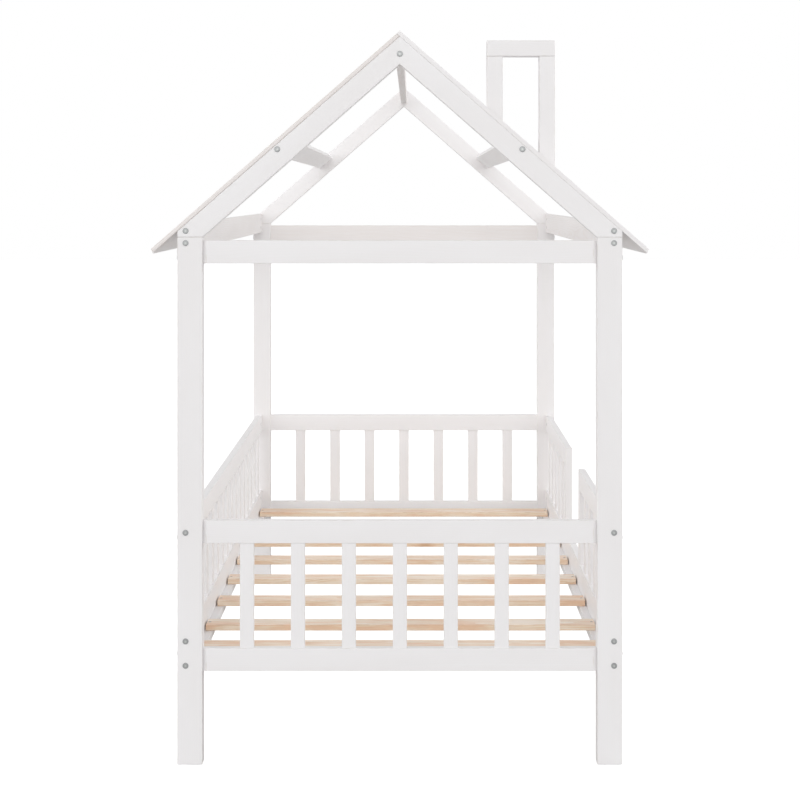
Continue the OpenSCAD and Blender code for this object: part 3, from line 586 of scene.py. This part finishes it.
def grow(name, tree, points, finish, cad_nodes, axes=None, reaches=None, **sizes):
    """Runs a tree on a set of points, turns the result into a plain mesh and dresses the frame with it."""
    seed_mesh = bpy.data.meshes.new(name)
    seed_mesh.from_pydata([tuple(p) for p in points], [], [])
    if axes is not None:
        seed_mesh.attributes.new("axis", "FLOAT_VECTOR", "POINT").data.foreach_set(
            "vector", np.array(axes, np.float32).ravel())
        seed_mesh.attributes.new("reach", "FLOAT", "POINT").data.foreach_set("value", reaches)
    piece = bpy.data.objects.new(name, seed_mesh)
    bpy.context.scene.collection.objects.link(piece)
    rule = piece.modifiers.new("rule", "NODES")
    rule.node_group = tree
    sizes["Finish"] = finish
    for item in tree.interface.items_tree:
        if item.in_out == "INPUT" and item.name.replace(" ", "_") in sizes:
            rule[item.identifier] = sizes[item.name.replace(" ", "_")]
    dg = bpy.context.evaluated_depsgraph_get()
    mesh = bpy.data.meshes.new_from_object(piece.evaluated_get(dg), preserve_all_data_layers=True, depsgraph=dg)
    piece.modifiers.remove(rule)
    piece.data = mesh
    if not mesh.materials:
        mesh.materials.append(finish)
    weigh_normals(mesh)
    print(f"{name}: {len(points)} copies, {len(mesh.polygons)} faces, longest side "
          f"{max(piece.dimensions) * 1000:.1f} mm")
    return dress(piece, *cad_nodes)


def joined(tree, *shapes):
    """Joins shapes into one geometry."""
    made = node(tree, "GeometryNodeJoinGeometry")
    for shape in shapes:
        tree.links.new(shape, made.inputs[0])
    return made.outputs[0]


def cut_with(tree, operation, first, second):
    """Cuts the second shape from the first, or keeps what they share."""
    made = node(tree, "GeometryNodeMeshBoolean", operation=operation, solver="EXACT")
    tree.links.new(first, made.inputs["Mesh 1" if operation == "DIFFERENCE" else "Mesh 2"])
    tree.links.new(second, made.inputs["Mesh 2"])
    return made.outputs[0]


def swept_board(tree, take):
    """A board along X, centred on the origin, with the tree's Length, Width, Thickness and Arris."""
    half = calc(tree, "MULTIPLY", take["Length"], 0.5)
    line = geometry(tree, "GeometryNodeCurvePrimitiveLine", {
        "Start": geometry(tree, "ShaderNodeCombineXYZ", {0: calc(tree, "MULTIPLY", half, -1.0)}),
        "End": geometry(tree, "ShaderNodeCombineXYZ", {0: half})})
    line = geometry(tree, "GeometryNodeSetCurveNormal", {"Curve": line}, mode="Z_UP")
    outline = geometry(tree, "GeometryNodeCurvePrimitiveQuadrilateral", {
        "Width": take["Width"], "Height": take["Thickness"]})
    outline = geometry(tree, "GeometryNodeFilletCurve", {
        "Curve": outline, "Count": 3, "Radius": take["Arris"]}, mode="POLY")
    return geometry(tree, "GeometryNodeCurveToMesh", {"Curve": line, "Profile Curve": outline, "Fill Caps": True})


def with_lay(tree, shape):
    """Stores the grain, and the mask of the rounded edges: faces that look along none of the axes."""
    place = node(tree, "GeometryNodeInputPosition").outputs[0]
    shape = store(tree, shape, "grain", place, "FLOAT_VECTOR")
    look = node(tree, "ShaderNodeSeparateXYZ", {0: node(tree, "GeometryNodeInputNormal").outputs[0]})
    squarest = calc(tree, "MAXIMUM", calc(tree, "ABSOLUTE", look.outputs["Y"]),
                    calc(tree, "MAXIMUM", calc(tree, "ABSOLUTE", look.outputs["Z"]),
                         calc(tree, "ABSOLUTE", look.outputs["X"])))
    return store(tree, shape, "arris", calc(tree, "LESS_THAN", squarest, 0.998), "FLOAT", "FACE")


def copies(tree, points, shape, turn, finish, shank=None):
    """Sets the shape on the points, numbers the copies, realizes them and gives them their finish. A shank is
    one metre long and is stretched to the reach that each point carries."""
    placed = geometry(tree, "GeometryNodeInstanceOnPoints", {
        "Points": points, "Instance": shape, "Rotation": turn})
    if shank is not None:
        reach = node(tree, "GeometryNodeInputNamedAttribute", {"Name": "reach"}, data_type="FLOAT").outputs[0]
        placed = joined(tree, placed, geometry(tree, "GeometryNodeInstanceOnPoints", {
            "Points": points, "Instance": shank, "Rotation": turn,
            "Scale": geometry(tree, "ShaderNodeCombineXYZ", {0: 1.0, 1: 1.0, 2: reach})}))
    draw = node(tree, "FunctionNodeRandomValue", {"Seed": 7}, data_type="FLOAT")
    placed = store(tree, placed, "board", next(o for o in draw.outputs if o.enabled), "FLOAT", "INSTANCE")
    placed = geometry(tree, "GeometryNodeRealizeInstances", {"Geometry": placed})
    return geometry(tree, "GeometryNodeSetMaterial", {"Geometry": placed, "Material": finish})


# %% The tree for pickets
BOARD_SIZES = {
    "Length": ("Float", 0.25), "Width": ("Float", 0.034), "Thickness": ("Float", 0.014),
    "Arris": ("Float", 0.002), "Turn": ("Vector", (0.0, 0.0, 0.0)), "Finish": ("Material", None)}
picket_tree, take, give = new_group("row of pickets", "GeometryNodeTree",
                                    {"Points": ("Geometry", None), **BOARD_SIZES}, {"Row": ("Geometry", None)})
t = picket_tree
row = copies(t, take["Points"], with_lay(t, swept_board(t, take)), take["Turn"], take["Finish"])
t.links.new(row, give["Row"])
print("picket tree:", len(t.nodes), "nodes")


# %% Find each separate solid of a node
def solids_of(name):
    """The corner points of each separate solid in a node, as arrays."""
    shape = open_solid(name)
    left, found = set(shape.verts), []
    while left:
        start = left.pop()
        island, edge = [start], [start]
        while edge:
            for e in edge.pop().link_edges:
                for v in e.verts:
                    if v in left:
                        left.discard(v)
                        island.append(v)
                        edge.append(v)
        found.append(np.array([v.co for v in island], float))
    shape.free()
    return sorted(found, key=lambda p: tuple(np.round(p.mean(0), 4)))


# %% Set up the picket rows
PICKET = {"Width": 0.034, "Thickness": 0.014, "Arris": 0.002}
AT_AN_END = (0.0, math.radians(-90), math.radians(90))
AT_A_SIDE = (0.0, math.radians(-90), math.radians(180))

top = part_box("foot_guard_rail")[0].z
for name, rail_below, turn in (
        ("foot_pickets", "foot_bottom_rail", AT_AN_END),
        ("head_pickets", "head_bottom_rail", AT_AN_END),
        ("left_pickets", "left_side_rail", AT_A_SIDE),
        ("right_foot_pickets", "right_side_rail", AT_A_SIDE),
        ("right_head_pickets", "right_side_rail", AT_A_SIDE)):
    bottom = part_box(rail_below)[1].z
    middles = [((p.min(0) + p.max(0)) / 2)[:2] for p in solids_of(name)]
    grow("white_paint." + name, picket_tree, [(x, y, (bottom + top) / 2) for x, y in middles], white_paint,
         [name], Length=top - bottom, Turn=turn, **PICKET)

# %% [markdown]
# ## The slats
# The base is a row of planed pine slats, screwed down at both ends. They follow the same sweep as the pickets,
# with one more step: a small cone is cut from the top at each end for the head of the screw. The cut is made
# once, before the slat is copied. The slat at the head end is wider, so it is a second run of the same tree.

# %% The tree for slats
SCREW_HEAD, SCREW_SINK = 0.007, 0.002
slat_tree, take, give = new_group("row of slats", "GeometryNodeTree", {
    "Points": ("Geometry", None), **BOARD_SIZES, "Screw Inset": ("Float", 0.007),
    "Head": ("Float", SCREW_HEAD), "Sink": ("Float", SCREW_SINK)}, {"Row": ("Geometry", None)})
t = slat_tree
sink = geometry(t, "GeometryNodeMeshCone", {
    "Vertices": 24, "Radius Top": calc(t, "MULTIPLY", take["Head"], 0.56),
    "Radius Bottom": calc(t, "MULTIPLY", take["Head"], 0.28), "Depth": calc(t, "MULTIPLY", take["Sink"], 1.1)})
screw_x = calc(t, "SUBTRACT", calc(t, "MULTIPLY", take["Length"], 0.5), take["Screw Inset"])
sink_z = calc(t, "SUBTRACT", calc(t, "MULTIPLY", take["Thickness"], 0.5), take["Sink"])
cutters = []
for way in (-1.0, 1.0):
    at = geometry(t, "ShaderNodeCombineXYZ", {0: calc(t, "MULTIPLY", screw_x, way), 2: sink_z})
    cutters.append(geometry(t, "GeometryNodeTransform", {"Geometry": sink, "Translation": at}))
sunk = cut_with(t, "DIFFERENCE", swept_board(t, take), joined(t, *cutters))
# faces that look neither up nor down are the sides, which the pine darkens as painted shade
up_or_down = calc(t, "ABSOLUTE", node(t, "ShaderNodeSeparateXYZ", {
    0: node(t, "GeometryNodeInputNormal").outputs[0]}).outputs["Z"])
slat = store(t, with_lay(t, sunk), "shaded_sides", calc(t, "LESS_THAN", up_or_down, 0.6), "FLOAT", "FACE")
row = copies(t, take["Points"], slat, take["Turn"], take["Finish"])
t.links.new(row, give["Row"])
print("slat tree:", len(t.nodes), "nodes")

# %% Set up the slats
SLAT_ARRIS, SCREW_INSET = 0.0012, 0.007
slats = [f"slat_{i}" for i in range(1, 9)]
for name, members in (("raw_pine.slats", slats[:7]), ("raw_pine.head_slat", slats[7:])):
    boxes = [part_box(s) for s in members]
    long_x, wide_y, thick_z = boxes[0][1] - boxes[0][0]
    grow(name, slat_tree, [(low + high) / 2 for low, high in boxes], raw_pine, members,
         Length=long_x, Width=wide_y, Thickness=thick_z, Arris=SLAT_ARRIS, Screw_Inset=SCREW_INSET,
         Head=SCREW_HEAD, Sink=SCREW_SINK)

# %% [markdown]
# ## Bolts, barrel nuts and screws
# The frame is held by connector bolts with flat heads and hexagon sockets, which draw barrel nuts tight inside
# the rails, and by countersunk screws with a cross recess. The seat and direction of each fastener are read from
# its solid: the long axis of its corner points is the shank, and the thicker end is the head. The shapes are
# plain cylinders, cones and boxes cut by each other, which is how the real ones are turned and punched.

# %% Find the seat and the axis of each fastener
END_SHARE = 0.12    # the part of its length in which a fastener's head, or its tip, is looked for
FULL_TURN = 6.2832


def seats(name, inset=0.0, outward=None):
    """The seat, the outward axis and the depth behind the seat of each fastener in a node."""
    places, axes, reaches = [], [], []
    for p in solids_of(name):
        middle = (p.min(0) + p.max(0)) / 2
        axis = np.linalg.svd(p - p.mean(0), full_matrices=False)[2][0]
        reach = (p - middle) @ axis
        away = np.linalg.norm((p - middle) - np.outer(reach, axis), axis=1)
        span = reach.max() - reach.min()
        front = away[reach > reach.max() - END_SHARE * span].max()
        back = away[reach < reach.min() + END_SHARE * span].max()
        flip = back > front if outward is None else np.dot(axis, outward(middle)) < 0
        if flip:
            axis, reach = -axis, -reach
        places.append(middle + axis * (reach.max() - inset))
        axes.append(axis)
        reaches.append(span - inset)
    return {"points": places, "axes": axes, "reaches": reaches}


def with_own_lay(tree, shape):
    """Stores a fastener's own coordinates as its grain, for the scratches and clouds of the plating."""
    return store(tree, shape, "grain", node(tree, "GeometryNodeInputPosition").outputs[0], "FLOAT_VECTOR")


def facing(tree):
    """A rotation that turns Z to the axis stored on each point, with a random spin."""
    axis = node(tree, "GeometryNodeInputNamedAttribute", {"Name": "axis"}, data_type="FLOAT_VECTOR").outputs[0]
    turned = node(tree, "FunctionNodeAlignRotationToVector", {"Vector": axis}, axis="Z").outputs[0]
    draw = node(tree, "FunctionNodeRandomValue", {"Seed": 3}, data_type="FLOAT")
    spin = calc(tree, "MULTIPLY", next(o for o in draw.outputs if o.enabled), FULL_TURN)
    by = node(tree, "FunctionNodeEulerToRotation", {0: geometry(tree, "ShaderNodeCombineXYZ", {2: spin})})
    return node(tree, "FunctionNodeRotateRotation", {"Rotation": turned, "Rotate By": by.outputs[0]},
                rotation_space="LOCAL").outputs[0]


def moved(tree, shape, z=0.0, **more):
    """Moves a shape up or down its axis."""
    at = geometry(tree, "ShaderNodeCombineXYZ", {2: z})
    return geometry(tree, "GeometryNodeTransform", {"Geometry": shape, "Translation": at, **more})


# %% The tree for connector bolts
BOLT_HEAD_HEIGHT, CHAMFER = 0.0022, 0.0011
HEXAGON = 0.577     # from the middle of a hexagon to a corner, for one that is 1 wide across its flats
A_HAIR = 0.00003    # keeps two faces from lying in one plane, where a cut could go wrong
bolt_tree, take, give = new_group("connector bolts", "GeometryNodeTree", {
    "Points": ("Geometry", None), "Head": ("Float", 0.014), "Head Height": ("Float", BOLT_HEAD_HEIGHT),
    "Socket": ("Float", 0.005), "Socket Depth": ("Float", 0.0013), "Shank": ("Float", 0.006),
    "Finish": ("Material", None)}, {"Bolts": ("Geometry", None)})
t = bolt_tree
radius = calc(t, "MULTIPLY", take["Head"], 0.5)
disc = geometry(t, "GeometryNodeMeshCylinder", {"Vertices": 40, "Radius": radius, "Depth": take["Head Height"]})
disc = moved(t, disc, calc(t, "MULTIPLY", take["Head Height"], 0.5))
cover = geometry(t, "GeometryNodeMeshCone", {
    "Vertices": 40, "Radius Top": calc(t, "SUBTRACT", radius, CHAMFER),
    "Radius Bottom": calc(t, "ADD", radius, CHAMFER), "Depth": calc(t, "ADD", take["Head Height"], A_HAIR)})
head = cut_with(t, "INTERSECT", disc, cover)
punch_length = 0.004
punch = geometry(t, "GeometryNodeMeshCylinder", {
    "Vertices": 6, "Radius": calc(t, "MULTIPLY", take["Socket"], HEXAGON), "Depth": punch_length})
socket_floor = calc(t, "SUBTRACT", take["Head Height"], take["Socket Depth"])
punch = moved(t, punch, calc(t, "ADD", socket_floor, punch_length / 2))
# the socket faces get the recess mask, which the zinc paints lighter as painted light
punch = store(t, punch, "recess", 1.0, "FLOAT", "FACE")
head = cut_with(t, "DIFFERENCE", head, punch)
shank = moved(t, geometry(t, "GeometryNodeMeshCylinder", {
    "Vertices": 16, "Radius": calc(t, "MULTIPLY", take["Shank"], 0.5), "Depth": 1.0}), -0.5)
t.links.new(copies(t, take["Points"], with_own_lay(t, head), facing(t), take["Finish"], with_own_lay(t, shank)),
            give["Bolts"])
print("bolt tree:", len(t.nodes), "nodes")

# %% Set up the bolts
for name in ("side_rail_bolts", "guard_rail_bolts", "eave_beam_bolts", "purlin_and_ridge_bolts",
             "end_rail_bolts"):
    grow("zinc_steel." + name, bolt_tree, finish=zinc, cad_nodes=[name], **seats(name, inset=BOLT_HEAD_HEIGHT))

# %% The tree for barrel nuts
nut_tree, take, give = new_group("barrel nuts", "GeometryNodeTree", {
    "Points": ("Geometry", None), "Diameter": ("Float", 0.010), "Length": ("Float", 0.016),
    "Hole": ("Float", 0.0064), "Hole Depth": ("Float", 0.010), "Slot": ("Float", 0.0014),
    "Finish": ("Material", None)}, {"Nuts": ("Geometry", None)})
t = nut_tree
body = moved(t, geometry(t, "GeometryNodeMeshCylinder", {
    "Vertices": 32, "Radius": calc(t, "MULTIPLY", take["Diameter"], 0.5), "Depth": take["Length"]}),
    calc(t, "MULTIPLY", take["Length"], -0.5))
hole = moved(t, geometry(t, "GeometryNodeMeshCylinder", {
    "Vertices": 20, "Radius": calc(t, "MULTIPLY", take["Hole"], 0.5), "Depth": 0.02}),
    calc(t, "MULTIPLY", take["Hole Depth"], -1.0), Rotation=(math.radians(90), 0, 0))
slot = geometry(t, "GeometryNodeMeshCube", {"Size": geometry(t, "ShaderNodeCombineXYZ", {
    0: take["Slot"], 1: 0.012, 2: 0.0024})})
body = cut_with(t, "DIFFERENCE", cut_with(t, "DIFFERENCE", body, hole), slot)
t.links.new(copies(t, take["Points"], with_own_lay(t, body), facing(t), take["Finish"]), give["Nuts"])


# %% Set up the barrel nuts
def open_end(middle):
    """The side a barrel nut was put in from: the left in the ridge beam, the middle of the bed at its sides,
    and below in the end rails and the purlins."""
    at_the_ridge, at_a_side = abs(middle[0]) < 0.05, abs(middle[0]) >= 0.45
    if at_the_ridge:
        return -1, 0, 0
    return (-np.sign(middle[0]), 0, 0) if at_a_side else (0, 0, -1)


grow("zinc_steel.barrel_nuts", nut_tree, finish=zinc, cad_nodes=["barrel_nuts"],
     **seats("barrel_nuts", outward=open_end))

# %% The tree for countersunk screws
screw_tree, take, give = new_group("countersunk screws", "GeometryNodeTree", {
    "Points": ("Geometry", None), "Head": ("Float", SCREW_HEAD), "Shank": ("Float", 0.0035),
    "Sink": ("Float", SCREW_SINK), "Finish": ("Material", None)}, {"Screws": ("Geometry", None)})
t = screw_tree
head = moved(t, geometry(t, "GeometryNodeMeshCone", {
    "Vertices": 24, "Radius Top": calc(t, "MULTIPLY", take["Head"], 0.5),
    "Radius Bottom": calc(t, "MULTIPLY", take["Shank"], 0.5), "Depth": take["Sink"]}),
    calc(t, "MULTIPLY", take["Sink"], -1.0))
# the cross recess gets the recess mask at 0.4, so it is painted a little lighter as painted light
for blade_size in ((0.0008, 0.0040, 0.0020), (0.0040, 0.0008, 0.0020)):
    blade = store(t, geometry(t, "GeometryNodeMeshCube", {"Size": blade_size}), "recess", 0.4, "FLOAT", "FACE")
    head = cut_with(t, "DIFFERENCE", head, blade)
shank = moved(t, geometry(t, "GeometryNodeMeshCone", {
    "Vertices": 12, "Radius Bottom": 0.0002, "Radius Top": calc(t, "MULTIPLY", take["Shank"], 0.49),
    "Depth": 1.0}), -1.0)
t.links.new(copies(t, take["Points"], with_own_lay(t, head), facing(t), take["Finish"], with_own_lay(t, shank)),
            give["Screws"])
for name in ("slat_screws", "board_screws"):
    grow("zinc_steel." + name, screw_tree, finish=zinc, cad_nodes=[name], **seats(name))

# %% [markdown]
# ## Dowels
# The beech dowels sit inside the joints and never show, so their solids stay as they are and only get their wood.

# %% Finish the dowels
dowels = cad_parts["dowels"]
dowels.data.materials.clear()
dowels.data.materials.append(beech)
print("dowels have", len(dowels.data.materials), "material")

# %% [markdown]
# ## Studio
# The photograph is a catalogue picture: white all round, soft light from everywhere and a little more of it from
# the front, so that faces turned to the camera are brightest and undersides fall off gently. A large pale floor,
# a surround that is brighter at the walls than overhead, one wide soft lamp in front and one at each side give
# that. What the camera sees directly of the surround is plain white.

# %% Floor
FLOOR_REACH = 30
WHITE = (1.0, 1.0, 1.0, 1.0)
floor_mesh = bpy.data.meshes.new("studio floor")
floor_mesh.from_pydata([(FLOOR_REACH * x, FLOOR_REACH * y, 0) for x, y in ((-1, -1), (1, -1), (1, 1), (-1, 1))],
                       [], [(0, 1, 2, 3)])
floor = bpy.data.objects.new("studio_floor", floor_mesh)
bpy.context.scene.collection.objects.link(floor)
floor_paint = bpy.data.materials.new("studio floor")
floor_paint.use_nodes = True
t = floor_paint.node_tree
shader = t.nodes["Principled BSDF"]
speck = node(t, "ShaderNodeTexNoise", {"Vector": node(t, "ShaderNodeTexCoord").outputs["Object"], "Scale": 3.0})
t.links.new(mixed(t, speck.outputs[0], (0.64,) * 3, (0.67,) * 3), shader.inputs["Base Color"])
shader.inputs["Roughness"].default_value = 0.9
shader.inputs["Specular IOR Level"].default_value = 0.1
seen = node(t, "ShaderNodeLightPath").outputs["Is Camera Ray"]
shader.inputs["Emission Color"].default_value = WHITE
t.links.new(calc(t, "MULTIPLY", seen, 0.7), shader.inputs["Emission Strength"])
floor_mesh.materials.append(floor_paint)
print("the floor reaches", FLOOR_REACH, "m to each side")

# %% Surround and lamps
world = bpy.data.worlds.new("studio surround")
bpy.context.scene.world = world
world.use_nodes = True
t = world.node_tree
seen = node(t, "ShaderNodeLightPath").outputs["Is Camera Ray"]
sky_height = node(t, "ShaderNodeSeparateXYZ", {0: node(t, "ShaderNodeTexCoord").outputs["Generated"]}).outputs["Z"]
fall_off = calc(t, "MULTIPLY_ADD", calc(t, "MAXIMUM", sky_height, 0.0), -0.55, 0.95)
strength = calc(t, "MAXIMUM", fall_off, seen)
t.nodes["Background"].inputs["Color"].default_value = WHITE
t.links.new(strength, t.nodes["Background"].inputs["Strength"])

lamp = bpy.data.lights.new("front lamp", "SUN")
lamp.energy, lamp.angle = 1.1, math.radians(60)
lamp_stand = bpy.data.objects.new("front lamp", lamp)
lamp_stand.rotation_euler = (math.radians(71), 0, math.radians(-3))
bpy.context.scene.collection.objects.link(lamp_stand)
base_of_bed = Vector((0, 0, 0.35))
for side in (-1, 1):
    lamp = bpy.data.lights.new("side lamp", "AREA")
    lamp.size, lamp.energy = 2.4, 78
    lamp_stand = bpy.data.objects.new("side lamp", lamp)
    lamp_stand.location = (4.6 * side, 0.6, 2.1)
    lamp_stand.rotation_euler = (base_of_bed - lamp_stand.location).to_track_quat("-Z", "Y").to_euler()
    lamp_stand.visible_camera = False
    bpy.context.scene.collection.objects.link(lamp_stand)
bpy.context.scene.view_settings.view_transform = "Standard"
